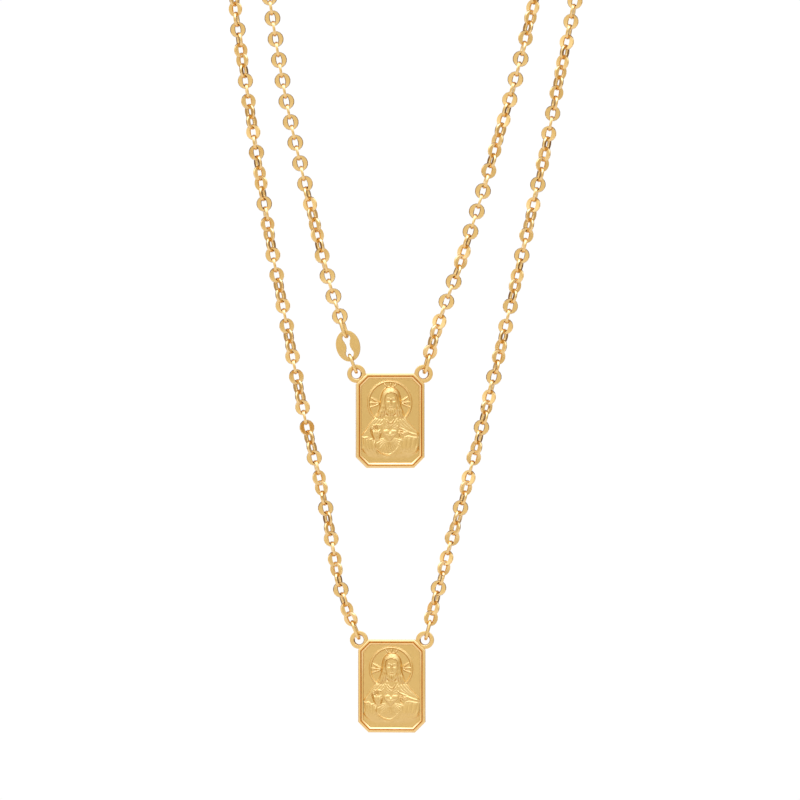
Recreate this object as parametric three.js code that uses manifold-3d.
// A scapular necklace: two cut-corner medals with a cast devotional relief, joined by two
// cable chains into one loop that has no clasp, and a bare oval tag in one chain.
// It hangs folded over a slim horizontal rail. Millimetres, +Z up, the front towards -Y.
// The origin is on the crest of the rail, midway between the chains.

import * as THREE from 'three';
import { mergeVertices } from 'three/addons/utils/BufferGeometryUtils.js';
import Module from 'manifold-3d';

const wasm = await Module();
wasm.setup();

// Driving dimensions

const rail = {
  radius: 10.0,          // the bar, rod or finger that the loop is folded over
};

const medal = {
  width: 10.0,
  height: 13.8,
  thickness: 1.2,
  corner: 1.55,          // how much of each edge the cut corner takes
  edgeBevel: 0.12,       // the small bevel round the front and the back
  rimWidth: 0.5,         // the flat polished rim
  stepDepth: 0.1,        // the fine step inside the rim
  stepWidth: 0.12,
  fieldDepth: 0.3,       // from the rim down to the matte field
  fieldSlope: 0.18,      // the sloping inner wall round the field
};

const relief = {
  height: 0.5,           // the highest part of the figure above the field
  root: 0.2,             // how far the relief reaches into the plate
  sink: 0.04,            // how far the middles of domes and ridges lie under the field
  haloWidth: 0.28,
  robe: 0.34,            // the robe's and the hair's shares of the height
  hair: 0.55,
  edge: 0.3,             // how much of a raised outline's height its bevel takes
  fineEdge: 0.1,
};

const eye = {
  outerRadius: 1.35,
  holeRadius: 0.7,
  thickness: 0.55,
  edgeBevel: 0.12,
  solder: 0.35,          // how far the ring is let into the cut corner
  setBack: 0.06,         // behind the plate's middle, so that the medal hangs upright
  pull: THREE.MathUtils.degToRad(18),    // the lean at which the links bear on the ring
};

const jumpLink = {
  length: 3.2,
  width: 2.15,
  wire: 0.5,
};

const chainLink = {
  length: 2.32,
  width: 2.26,
  sideBand: 0.62,        // the flattened sides
  endBand: 0.34,         // the thinner ends, where the next link bears
  thickness: 0.38,
  edgeBevel: 0.09,
  clearance: 0.1,        // from one link's end to the next
};

const tag = {
  width: 3.5,
  length: 4.6,
  thickness: 0.5,
  edgeBevel: 0.08,
  lobeRadius: 0.6,       // the round ends of the slot
  lobeSpacing: 2.26,
  waist: 0.6,            // the slot's narrow middle
  bite: 0.15,            // how far its bands sit into the links' round ends
};

const sides = {
  link: 12,
  jump: 14,
  wire: 6,
  eye: 18,
  tube: 8,
  tubeSteps: 40,
  halo: 32,
  outline: 2,            // for each stretch between an outline's points
  heartCurve: 4,
  drape: 10,
  tag: 12,
  dome: 12,
  domeRows: 6,
  smallDome: 8,
};

const curveDivisions = 4000;     // for even steps along a chain
const mergeDistance = 1e-4;

const linksShownAtEachEnd = 6;
const tubeClearance = 0.2;       // from the last separate link to the plain stretch

// The medals' places: the middle of the line through both eyes, and the turn about Z

const upperHang = { x: -3.37, z: -114.07, turn: THREE.MathUtils.degToRad(7) };
const lowerHang = { x: -3.1, z: -153.53, turn: THREE.MathUtils.degToRad(-7) };

// The tag hangs between the upper medal's left eye and the left chain: leans from upright

const tagLean = {
  lowerLink: THREE.MathUtils.degToRad(-21.5),
  tag: THREE.MathUtils.degToRad(-13),
  upperLink: THREE.MathUtils.degToRad(-15),
};
const tagTurn = THREE.MathUtils.degToRad(-8);

// Chain routes: chosen points in X and Z up the front and down the back, and the places in X
// where the chain meets the rail in front and leaves it behind

const leftRoute = {
  front: [
    [-12.5, -100.8],
    [-14.7, -91.7],
    [-16.8, -83.0],
    [-18.7, -74.2],
    [-20.6, -62.6],
    [-24.3, -36.3],
  ],
  rail: { front: -28.0, back: -31.2 },
  back: [
    [-28.8, -34.7],
    [-26.5, -59.5],
    [-24.9, -71.3],
    [-23.3, -81.7],
    [-21.2, -95.1],
    [-18.9, -107.0],
    [-16.3, -120.4],
    [-13.2, -133.7],
    [-10.7, -147.1],
  ],
};

const rightRoute = {
  front: [
    [3.7, -107.8],
    [6.9, -98.8],
    [9.8, -89.7],
    [12.3, -81.0],
    [14.9, -72.2],
    [17.7, -60.6],
    [23.8, -35.3],
  ],
  rail: { front: 29.8, back: 33.6 },
  back: [
    [28.8, -34.7],
    [24.1, -59.5],
    [21.7, -71.3],
    [19.7, -81.7],
    [16.7, -95.1],
    [14.0, -107.0],
    [10.9, -120.1],
    [7.4, -133.7],
    [4.3, -144.9],
  ],
};

const archSteps = 4;             // from the front of the rail over to its back

// Worked out from the sizes above

const hangingDepth = rail.radius + chainLink.width / 2;
const eyeBandRadius = (eye.holeRadius + eye.outerRadius) / 2;
const jumpRadius = (jumpLink.width - jumpLink.wire) / 2;
const jumpSpacing = jumpLink.length - jumpLink.width;
const jumpInside = jumpRadius - jumpLink.wire / 2;
const linkPitch = chainLink.length - 2 * chainLink.endBand - chainLink.clearance;
const firstLinkAt = jumpSpacing + jumpInside - chainLink.clearance - chainLink.endBand
  + chainLink.length / 2;
const fieldInset = medal.rimWidth + medal.stepWidth + medal.fieldSlope;
const fieldHalfWidth = medal.width / 2 - fieldInset;
const fieldHalfHeight = medal.height / 2 - fieldInset;
const fieldY = medal.fieldDepth - medal.thickness / 2;
const reliefMiddle = fieldY + relief.sink;

// Finishes

function gold(color, roughness) {
  return new THREE.MeshStandardMaterial({ color, roughness, metalness: 1 });
}

const castGold = gold(0xdfba76, 0.38);
const brushedGold = gold(0xe1ba74, 0.5);
const polishedGold = gold(0xe3b970, 0.2);

// Solids: three.js geometry in and out of the boolean library

function toSolid(geometry) {
  const bare = geometry.clone();
  bare.deleteAttribute('normal');
  bare.deleteAttribute('uv');
  const merged = mergeVertices(bare, mergeDistance);
  const corners = [];
  const index = merged.index.array;
  for (let i = 0; i < index.length; i += 3) {
    const [a, b, c] = [index[i], index[i + 1], index[i + 2]];
    if (a !== b && b !== c && c !== a) corners.push(a, b, c);
  }
  return new wasm.Manifold(new wasm.Mesh({
    numProp: 3,
    vertProperties: merged.attributes.position.array,
    triVerts: new Uint32Array(corners),
  }));
}

function toGeometry(solid) {
  const mesh = solid.getMesh();
  const geometry = new THREE.BufferGeometry();
  geometry.setAttribute('position', new THREE.BufferAttribute(mesh.vertProperties, 3));
  geometry.setIndex(new THREE.BufferAttribute(mesh.triVerts, 1));
  geometry.computeVertexNormals();
  return geometry;
}

function join(geometries) {
  return geometries.map(toSolid).reduce((whole, next) => whole.add(next));
}

function namedMesh(name, geometry, material) {
  const mesh = new THREE.Mesh(geometry, material);
  mesh.name = name;
  return mesh;
}

// Extrudes a shape drawn in X and Z from one depth to another, the outline kept by the bevel

function slab(shape, backY, frontY, bevel, curveSegments = 1) {
  const geometry = new THREE.ExtrudeGeometry(shape, {
    depth: backY - frontY - 2 * bevel,
    bevelEnabled: bevel > 0,
    bevelThickness: bevel,
    bevelSize: bevel,
    bevelOffset: -bevel,
    bevelSegments: 1,
    curveSegments,
  });
  geometry.rotateX(Math.PI / 2);
  geometry.translate(0, backY - bevel, 0);
  return geometry;
}

// Medal plate

function cutCornerOutline(inset) {
  const x = medal.width / 2 - inset;
  const z = medal.height / 2 - inset;
  const cut = medal.corner - inset * (2 - Math.SQRT2);
  return new THREE.Shape([
    new THREE.Vector2(x - cut, -z),
    new THREE.Vector2(x, cut - z),
    new THREE.Vector2(x, z - cut),
    new THREE.Vector2(x - cut, z),
    new THREE.Vector2(cut - x, z),
    new THREE.Vector2(-x, z - cut),
    new THREE.Vector2(-x, cut - z),
    new THREE.Vector2(cut - x, -z),
  ]);
}

function eyePlace(side) {
  const reach = (eye.outerRadius - eye.solder) / Math.SQRT2;
  const x = medal.width / 2 - medal.corner / 2 + reach;
  const z = medal.height / 2 - medal.corner / 2 + reach;
  return new THREE.Vector3(side * x, eye.setBack, z);
}

function eyeRing(side) {
  const half = eye.thickness / 2;
  const profile = [
    [eye.holeRadius, -half],
    [eye.outerRadius - eye.edgeBevel, -half],
    [eye.outerRadius, eye.edgeBevel - half],
    [eye.outerRadius, half - eye.edgeBevel],
    [eye.outerRadius - eye.edgeBevel, half],
    [eye.holeRadius, half],
    [eye.holeRadius, -half],
  ].map(([radius, y]) => new THREE.Vector2(radius, y));
  const place = eyePlace(side);
  return new THREE.LatheGeometry(profile, sides.eye).translate(place.x, place.y, place.z);
}

function plate() {
  const front = -medal.thickness / 2;
  const back = medal.thickness / 2;
  const proud = front - medal.thickness;
  const body = toSolid(slab(cutCornerOutline(0), back, front, medal.edgeBevel));
  const step = toSolid(slab(cutCornerOutline(medal.rimWidth), front + medal.stepDepth, proud, 0));
  const pocket = slab(
    cutCornerOutline(medal.rimWidth + medal.stepWidth),
    fieldY,
    proud,
    medal.fieldSlope,
  );
  return body.subtract(step).subtract(toSolid(pocket)).add(join([eyeRing(-1), eyeRing(1)]));
}

// Relief. Places are shares of half the field's width (x) and height (z), sizes are shares of
// half the field's width, and heights are shares of the relief's height.

const robeOutline = [
  [-0.99, -0.38], [-0.76, -0.09], [-0.6, 0.05], [-0.31, 0.12], [0, 0.15], [0.31, 0.12],
  [0.6, 0.05], [0.79, -0.11], [0.99, -0.31], [0.99, -0.66], [0.71, -0.8], [0.24, -0.87],
  [-0.24, -0.87], [-0.71, -0.79], [-0.99, -0.64],
];

const hairOutline = [
  [0.02, 0.8], [0.24, 0.74], [0.36, 0.58], [0.38, 0.36], [0.5, 0.14], [0.3, 0.06],
  [0.02, 0.05], [-0.27, 0.06], [-0.46, 0.14], [-0.34, 0.36], [-0.33, 0.58], [-0.2, 0.74],
];

const domes = [
  { x: 0.0, z: -0.28, rx: 0.52, rz: 0.66, height: 0.5, turn: 0 },
  { x: -0.7, z: -0.5, rx: 0.25, rz: 0.4, height: 0.62, turn: 14 },
  { x: 0.7, z: -0.5, rx: 0.25, rz: 0.4, height: 0.62, turn: -14 },
  { x: -0.5, z: -0.07, rx: 0.26, rz: 0.22, height: 0.6, turn: 25 },
  { x: 0.5, z: -0.07, rx: 0.26, rz: 0.22, height: 0.6, turn: -25 },
  { x: 0.03, z: 0.57, rx: 0.34, rz: 0.32, height: 0.75, turn: 7 },
  { x: -0.27, z: 0.29, rx: 0.12, rz: 0.32, height: 0.7, turn: -6 },
  { x: 0.31, z: 0.29, rx: 0.12, rz: 0.32, height: 0.7, turn: 6 },
  { x: 0.02, z: 0.44, rx: 0.23, rz: 0.33, height: 0.92, turn: -3 },
  { x: 0.01, z: 0.22, rx: 0.18, rz: 0.2, height: 0.86, turn: 5 },
  { x: -0.47, z: -0.31, rx: 0.11, rz: 0.16, height: 0.85, turn: -20 },
  { x: 0.49, z: -0.28, rx: 0.15, rz: 0.1, height: 0.8, turn: 20 },
];

const smallDomes = [
  { x: 0.02, z: 0.41, rx: 0.035, rz: 0.09, height: 1.08, turn: 0 },
  { x: -0.08, z: 0.47, rx: 0.05, rz: 0.028, height: 0.96, turn: 0 },
  { x: 0.12, z: 0.47, rx: 0.05, rz: 0.028, height: 0.96, turn: 0 },
  { x: 0.02, z: 0.3, rx: 0.07, rz: 0.022, height: 0.98, turn: 0 },
];

const ridges = [
  { from: [-0.36, 0.42], to: [-0.66, 0.55], width: 0.03, height: 0.45 },
  { from: [-0.36, 0.41], to: [-0.7, 0.44], width: 0.03, height: 0.45 },
  { from: [-0.36, 0.4], to: [-0.69, 0.32], width: 0.03, height: 0.45 },
  { from: [0.4, 0.42], to: [0.65, 0.55], width: 0.03, height: 0.45 },
  { from: [0.4, 0.41], to: [0.7, 0.44], width: 0.03, height: 0.45 },
  { from: [0.4, 0.4], to: [0.69, 0.32], width: 0.03, height: 0.45 },
  { from: [-0.06, 0.78], to: [-0.22, 0.86], width: 0.03, height: 0.45 },
  { from: [0.02, 0.78], to: [0.02, 0.88], width: 0.03, height: 0.45 },
  { from: [0.1, 0.78], to: [0.26, 0.86], width: 0.03, height: 0.45 },
  { from: [-0.4, 0.08], to: [-0.02, -0.16], width: 0.05, height: 0.78 },
  { from: [0.42, 0.08], to: [0.04, -0.16], width: 0.05, height: 0.78 },
  { from: [0.3, 0.1], to: [0.98, -0.33], width: 0.06, height: 0.72 },
  { from: [-0.62, 0.02], to: [-0.96, -0.36], width: 0.06, height: 0.7 },
  { from: [-0.48, -0.27], to: [-0.36, -0.13], width: 0.05, height: 0.9 },
  { from: [-0.44, -0.3], to: [-0.26, -0.18], width: 0.05, height: 0.9 },
  { from: [0.5, -0.26], to: [0.28, -0.22], width: 0.05, height: 0.86 },
  { from: [0.48, -0.3], to: [0.28, -0.29], width: 0.05, height: 0.86 },
  { from: [-0.5, -0.4], to: [-0.66, -0.72], width: 0.05, height: 0.66 },
  { from: [0.56, -0.36], to: [0.6, -0.74], width: 0.05, height: 0.66 },
  { from: [0.72, -0.36], to: [0.78, -0.7], width: 0.05, height: 0.72 },
  { from: [-0.76, -0.4], to: [-0.84, -0.68], width: 0.05, height: 0.7 },
];

const heart = { x: 0.0, z: -0.33, halfWidth: 0.24, halfHeight: 0.22, height: 0.86 };
const halo = { x: 0.0, z: 0.42, radius: 0.73, height: 0.4 };
const drape = { x: -0.06, z: -0.44, radius: 0.5, width: 0.08, reach: 0.3, height: 0.68 };
const fan = { rays: 7, spread: 100, inner: 0.1, outer: 0.4, width: 0.022, height: 0.6 };

function smoothOutline(points) {
  const outline = points.map(([x, z]) => new THREE.Vector2(x * fieldHalfWidth, z * fieldHalfHeight));
  const shape = new THREE.Shape();
  shape.moveTo(outline[0].x, outline[0].y);
  shape.splineThru([...outline.slice(1), outline[0]]);
  return shape;
}

function raised(shape, height, curveSegments, edge = relief.edge) {
  const bevel = edge * height * relief.height;
  return slab(shape, fieldY + relief.root, fieldY - height * relief.height, bevel, curveSegments);
}

function riseOf(height) {
  return height * relief.height + relief.sink;
}

function dome({ x, z, rx, rz, height, turn }, around, down) {
  const geometry = new THREE.SphereGeometry(1, around, down);
  geometry.rotateX(Math.PI / 2);
  geometry.scale(rx * fieldHalfWidth, riseOf(height), rz * fieldHalfWidth);
  geometry.rotateY(THREE.MathUtils.degToRad(-turn));
  geometry.translate(x * fieldHalfWidth, reliefMiddle, z * fieldHalfHeight);
  return geometry;
}

function ridge({ from, to, width, height }) {
  const start = new THREE.Vector3(from[0] * fieldHalfWidth, 0, from[1] * fieldHalfHeight);
  const end = new THREE.Vector3(to[0] * fieldHalfWidth, 0, to[1] * fieldHalfHeight);
  const run = end.clone().sub(start);
  const radius = width * fieldHalfWidth;
  const geometry = new THREE.CylinderGeometry(radius / 2, radius, run.length(), sides.wire);
  geometry.rotateX(Math.PI / 2);
  geometry.scale(1, riseOf(height) / radius, 1);
  geometry.rotateY(Math.atan2(run.x, run.z));
  const middle = start.add(end).multiplyScalar(0.5);
  return geometry.translate(middle.x, reliefMiddle, middle.z);
}

function heartPlate() {
  const a = heart.halfWidth * fieldHalfWidth;
  const b = heart.halfHeight * fieldHalfWidth;
  const x = heart.x * fieldHalfWidth;
  const z = heart.z * fieldHalfHeight;
  const shape = new THREE.Shape();
  shape.moveTo(x, z - b);
  shape.bezierCurveTo(x + 0.3 * a, z - 0.5 * b, x + a, z - 0.1 * b, x + a, z + 0.45 * b);
  shape.bezierCurveTo(x + a, z + 1.15 * b, x + 0.2 * a, z + 1.15 * b, x, z + 0.5 * b);
  shape.bezierCurveTo(x - 0.2 * a, z + 1.15 * b, x - a, z + 1.15 * b, x - a, z + 0.45 * b);
  shape.bezierCurveTo(x - a, z - 0.1 * b, x - 0.3 * a, z - 0.5 * b, x, z - b);
  return raised(shape, heart.height, sides.heartCurve);
}

function haloRing() {
  const radius = halo.radius * fieldHalfWidth;
  const geometry = new THREE.TorusGeometry(radius, relief.haloWidth / 2, sides.wire, sides.halo);
  geometry.rotateX(Math.PI / 2);
  geometry.scale(1, 2 * riseOf(halo.height) / relief.haloWidth, 1);
  return geometry.translate(halo.x * fieldHalfWidth, reliefMiddle, halo.z * fieldHalfHeight);
}

function drapeCrescent() {
  const radius = drape.radius * fieldHalfWidth;
  const x = drape.x * fieldHalfWidth;
  const z = drape.z * fieldHalfHeight;
  const rise = drape.width * fieldHalfWidth;
  const shape = new THREE.Shape();
  const lowest = Math.PI * 3 / 2;
  const start = lowest - Math.PI * drape.reach;
  const end = lowest + Math.PI * drape.reach;
  shape.absarc(x, z, radius, start, end, false);
  shape.absarc(x, z + rise, radius, end, start, true);
  return raised(shape, drape.height, sides.drape, relief.fineEdge);
}

function fanRidges() {
  const rows = [];
  for (let ray = 0; ray < fan.rays; ray += 1) {
    const share = ray / (fan.rays - 1) - 0.5;
    const angle = THREE.MathUtils.degToRad(-90 + share * fan.spread);
    const rise = fieldHalfWidth / fieldHalfHeight;
    const at = (reach) => [
      heart.x + reach * Math.cos(angle),
      heart.z + reach * Math.sin(angle) * rise,
    ];
    rows.push({ from: at(fan.outer), to: at(fan.inner), width: fan.width, height: fan.height });
  }
  return rows.map(ridge);
}

function figure() {
  const raisedParts = join([
    raised(smoothOutline(robeOutline), relief.robe, sides.outline),
    raised(smoothOutline(hairOutline), relief.hair, sides.outline),
    ...domes.map((row) => dome(row, sides.dome, sides.domeRows)),
    ...smallDomes.map((row) => dome(row, sides.smallDome, sides.domeRows)),
    ...ridges.map(ridge),
    heartPlate(),
    haloRing(),
    drapeCrescent(),
    ...fanRidges(),
  ]);
  const room = slab(
    cutCornerOutline(fieldInset),
    fieldY + relief.root,
    -medal.thickness / 2 - medal.thickness,
    0,
  );
  return raisedParts.intersect(toSolid(room));
}

const medalGeometry = toGeometry(plate().add(figure()));

function hingeHeight() {
  return eyePlace(1).z + eyeBandRadius * Math.cos(eye.pull);
}

function placeMedal(name, hang, y) {
  const holder = new THREE.Group();
  holder.position.set(hang.x, y, hang.z);
  holder.rotation.z = hang.turn;
  const mesh = namedMesh(name, medalGeometry.clone(), castGold.clone());
  mesh.position.set(0, -eye.setBack, -hingeHeight());
  holder.add(mesh);
  return holder;
}

// The middle of the eye's band where a link bears on it

function hangPoint(hang, y, side) {
  const reach = eyePlace(1).x + eyeBandRadius * Math.sin(eye.pull);
  const point = new THREE.Vector3(side * reach, 0, 0);
  point.applyAxisAngle(new THREE.Vector3(0, 0, 1), hang.turn);
  return point.add(new THREE.Vector3(hang.x, y, hang.z));
}

// Links. Each is drawn round Y with its length along Z

function jumpLinkGeometry() {
  const geometry = new THREE.TorusGeometry(jumpRadius, jumpLink.wire / 2, sides.wire, sides.jump);
  geometry.rotateX(Math.PI / 2);
  const position = geometry.attributes.position;
  for (let i = 0; i < position.count; i += 1) {
    const z = position.getZ(i);
    if (Math.abs(z) > jumpLink.wire / 2) position.setZ(i, z + Math.sign(z) * jumpSpacing / 2);
  }
  return toGeometry(toSolid(geometry));
}

function chainLinkGeometry() {
  const half = chainLink.thickness / 2;
  const bevel = chainLink.edgeBevel;
  const positions = [];
  const corners = [];
  for (let step = 0; step < sides.link; step += 1) {
    const angle = 2 * Math.PI * (step + 0.5) / sides.link;
    const outer = new THREE.Vector2(
      chainLink.width / 2 * Math.cos(angle),
      chainLink.length / 2 * Math.sin(angle),
    );
    const inner = new THREE.Vector2(
      (chainLink.width / 2 - chainLink.sideBand) * Math.cos(angle),
      (chainLink.length / 2 - chainLink.endBand) * Math.sin(angle),
    );
    const across = bevel / outer.distanceTo(inner);
    const section = [
      [0, 0], [across, -half], [1 - across, -half], [1, 0], [1 - across, half], [across, half],
    ];
    for (const [share, y] of section) {
      const point = inner.clone().lerp(outer, share);
      positions.push(point.x, y, point.y);
    }
    const next = (step + 1) % sides.link;
    for (let side = 0; side < section.length; side += 1) {
      const after = (side + 1) % section.length;
      const a = step * section.length + side;
      const b = step * section.length + after;
      const c = next * section.length + after;
      const d = next * section.length + side;
      corners.push(a, b, c, a, c, d);
    }
  }
  const geometry = new THREE.BufferGeometry();
  geometry.setAttribute('position', new THREE.Float32BufferAttribute(positions, 3));
  geometry.setIndex(corners);
  geometry.computeVertexNormals();
  return geometry;
}

// Turns a link so that its length lies along a direction and its face is rolled about it

function aim(mesh, centre, direction, roll) {
  const along = direction.clone().normalize();
  const across = new THREE.Vector3(1, 0, 0);
  across.addScaledVector(along, -across.dot(along)).normalize();
  const face = along.clone().cross(across);
  const turn = new THREE.Matrix4().makeBasis(across, face, along);
  turn.multiply(new THREE.Matrix4().makeRotationZ(roll));
  mesh.quaternion.setFromRotationMatrix(turn);
  mesh.position.copy(centre);
  return mesh;
}

// Rolls of the separate links beside each end, in degrees from the medal outwards

const edgeOn = 90;
const endRolls = {
  upper_left: { jump: 74, links: [-8, 84, 0, 92, 8, 100] },
  upper_right: { jump: 98, links: [26, 122, 45, 152, 84, 175] },
  lower_left: { jump: 95, links: [30, 140, 70, 0, 110, 40] },
  lower_right: { jump: 88, links: [153, 43, 113, 3, 73, 143] },
};

function archPoints(route) {
  const points = [];
  for (let step = 0; step <= archSteps; step += 1) {
    const share = step / archSteps;
    const angle = Math.PI * share;
    const x = THREE.MathUtils.lerp(route.rail.front, route.rail.back, share);
    const y = -hangingDepth * Math.cos(angle);
    const z = hangingDepth * Math.sin(angle) - rail.radius;
    points.push(new THREE.Vector3(x, y, z));
  }
  return points;
}

function routeCurve(start, route, end) {
  const points = [
    start,
    ...route.front.map(([x, z]) => new THREE.Vector3(x, -hangingDepth, z)),
    ...archPoints(route),
    ...route.back.map(([x, z]) => new THREE.Vector3(x, hangingDepth, z)),
    end,
  ];
  const curve = new THREE.CatmullRomCurve3(points, false, 'catmullrom', 0.5);
  curve.arcLengthDivisions = curveDivisions;
  return curve;
}

class Stretch extends THREE.Curve {
  constructor(whole, from, to) {
    super();
    this.whole = whole;
    this.from = from;
    this.to = to;
  }

  getPoint(share, target = new THREE.Vector3()) {
    return this.whole.getPointAt(THREE.MathUtils.lerp(this.from, this.to, share), target);
  }
}

function linkOnRoute(name, geometry, material, curve, distance, reach, roll) {
  const total = curve.getLength();
  const before = curve.getPointAt((distance - reach) / total);
  const after = curve.getPointAt((distance + reach) / total);
  const centre = before.clone().add(after).multiplyScalar(0.5);
  const mesh = namedMesh(name, geometry.clone(), material.clone());
  return aim(mesh, centre, after.sub(before), THREE.MathUtils.degToRad(roll));
}

function endLinks(end, jumpName, curve, fromStart) {
  const total = curve.getLength();
  const rolls = endRolls[end];
  const at = (distance) => (fromStart ? distance : total - distance);
  const jumpAt = at(jumpSpacing / 2);
  const meshes = [
    linkOnRoute(jumpName, jumpLinkGeometry(), polishedGold, curve, jumpAt, jumpSpacing / 2, rolls.jump),
  ];
  for (let i = 0; i < linksShownAtEachEnd; i += 1) {
    const name = `${end}_link_${i + 1}`;
    const distance = at(firstLinkAt + i * linkPitch);
    const roll = rolls.links[i % rolls.links.length];
    const reach = linkPitch / 2;
    meshes.push(linkOnRoute(name, chainLinkGeometry(), polishedGold, curve, distance, reach, roll));
  }
  return meshes;
}

function plainStretch(name, curve) {
  const total = curve.getLength();
  const lastLink = firstLinkAt + (linksShownAtEachEnd - 1) * linkPitch;
  const start = lastLink + chainLink.length / 2 + tubeClearance;
  const stretch = new Stretch(curve, start / total, 1 - start / total);
  const section = new THREE.Shape();
  const radius = chainLink.width / 2;
  for (let side = 0; side < sides.tube; side += 1) {
    const angle = 2 * Math.PI * side / sides.tube;
    if (side === 0) section.moveTo(radius, 0);
    else section.lineTo(radius * Math.cos(angle), radius * Math.sin(angle));
  }
  const tube = new THREE.ExtrudeGeometry(section, {
    steps: sides.tubeSteps,
    bevelEnabled: false,
    extrudePath: stretch,
  });
  return namedMesh(name, toGeometry(toSolid(tube)), polishedGold.clone());
}

function chain(side, start, route, end) {
  const curve = routeCurve(start, route, end);
  const upperName = side === 'left' ? 'tag_upper_link' : 'upper_right_jump_link';
  const group = new THREE.Group();
  group.add(...endLinks(`upper_${side}`, upperName, curve, true));
  group.add(...endLinks(`lower_${side}`, `lower_${side}_jump_link`, curve, false));
  group.add(plainStretch(`${side}_chain`, curve));
  return group;
}

// Tag: a flat oval with a slot that is wide at its ends and narrow in its middle

function tagGeometry() {
  const shape = new THREE.Shape();
  shape.absellipse(0, 0, tag.width / 2, tag.length / 2, 0, 2 * Math.PI, false, 0);
  const neck = Math.asin(tag.waist / 2 / tag.lobeRadius);
  const low = -tag.lobeSpacing / 2;
  const high = tag.lobeSpacing / 2;
  const slot = new THREE.Path();
  slot.absarc(0, high, tag.lobeRadius, neck - Math.PI / 2, 1.5 * Math.PI - neck, false);
  slot.absarc(0, low, tag.lobeRadius, Math.PI / 2 + neck, 2.5 * Math.PI - neck, false);
  slot.closePath();
  shape.holes.push(slot);
  const geometry = slab(shape, tag.thickness / 2, -tag.thickness / 2, tag.edgeBevel, sides.tag);
  return toGeometry(toSolid(geometry));
}

function leanDirection(lean) {
  return new THREE.Vector3(Math.sin(lean), 0, Math.cos(lean));
}

// The tag's band between a lobe and the rim is held in the middle of each link's round end

function tagAssembly(eyePoint) {
  const bandMiddle = (tag.length / 2 + tag.lobeSpacing / 2 + tag.lobeRadius) / 2;
  const linkDirection = leanDirection(tagLean.lowerLink);
  const linkCentre = eyePoint.clone().addScaledVector(linkDirection, jumpSpacing / 2);
  const lowerBand = eyePoint.clone().addScaledVector(linkDirection, jumpSpacing + tag.bite);
  const tagDirection = leanDirection(tagLean.tag);
  const centre = lowerBand.clone().addScaledVector(tagDirection, bandMiddle);
  const upperBand = centre.clone().addScaledVector(tagDirection, bandMiddle);
  const lowerLink = namedMesh('tag_lower_link', jumpLinkGeometry(), polishedGold.clone());
  const plaque = namedMesh('oval_tag', tagGeometry(), brushedGold.clone());
  const group = new THREE.Group();
  group.add(aim(lowerLink, linkCentre, linkDirection, THREE.MathUtils.degToRad(edgeOn)));
  group.add(aim(plaque, centre, tagDirection, tagTurn));
  return { group, chainStart: upperBand.addScaledVector(leanDirection(tagLean.upperLink), tag.bite) };
}

// Assembly

const frontY = -hangingDepth;
const backY = hangingDepth;
const tagParts = tagAssembly(hangPoint(upperHang, frontY, -1));
const upperRight = hangPoint(upperHang, frontY, 1);
const lowerLeft = hangPoint(lowerHang, backY, -1);
const lowerRight = hangPoint(lowerHang, backY, 1);

const group = new THREE.Group();
group.add(placeMedal('upper_medal', upperHang, frontY));
group.add(placeMedal('lower_medal', lowerHang, backY));
group.add(tagParts.group);
group.add(chain('left', tagParts.chainStart, leftRoute, lowerLeft));
group.add(chain('right', upperRight, rightRoute, lowerRight));

export default group;
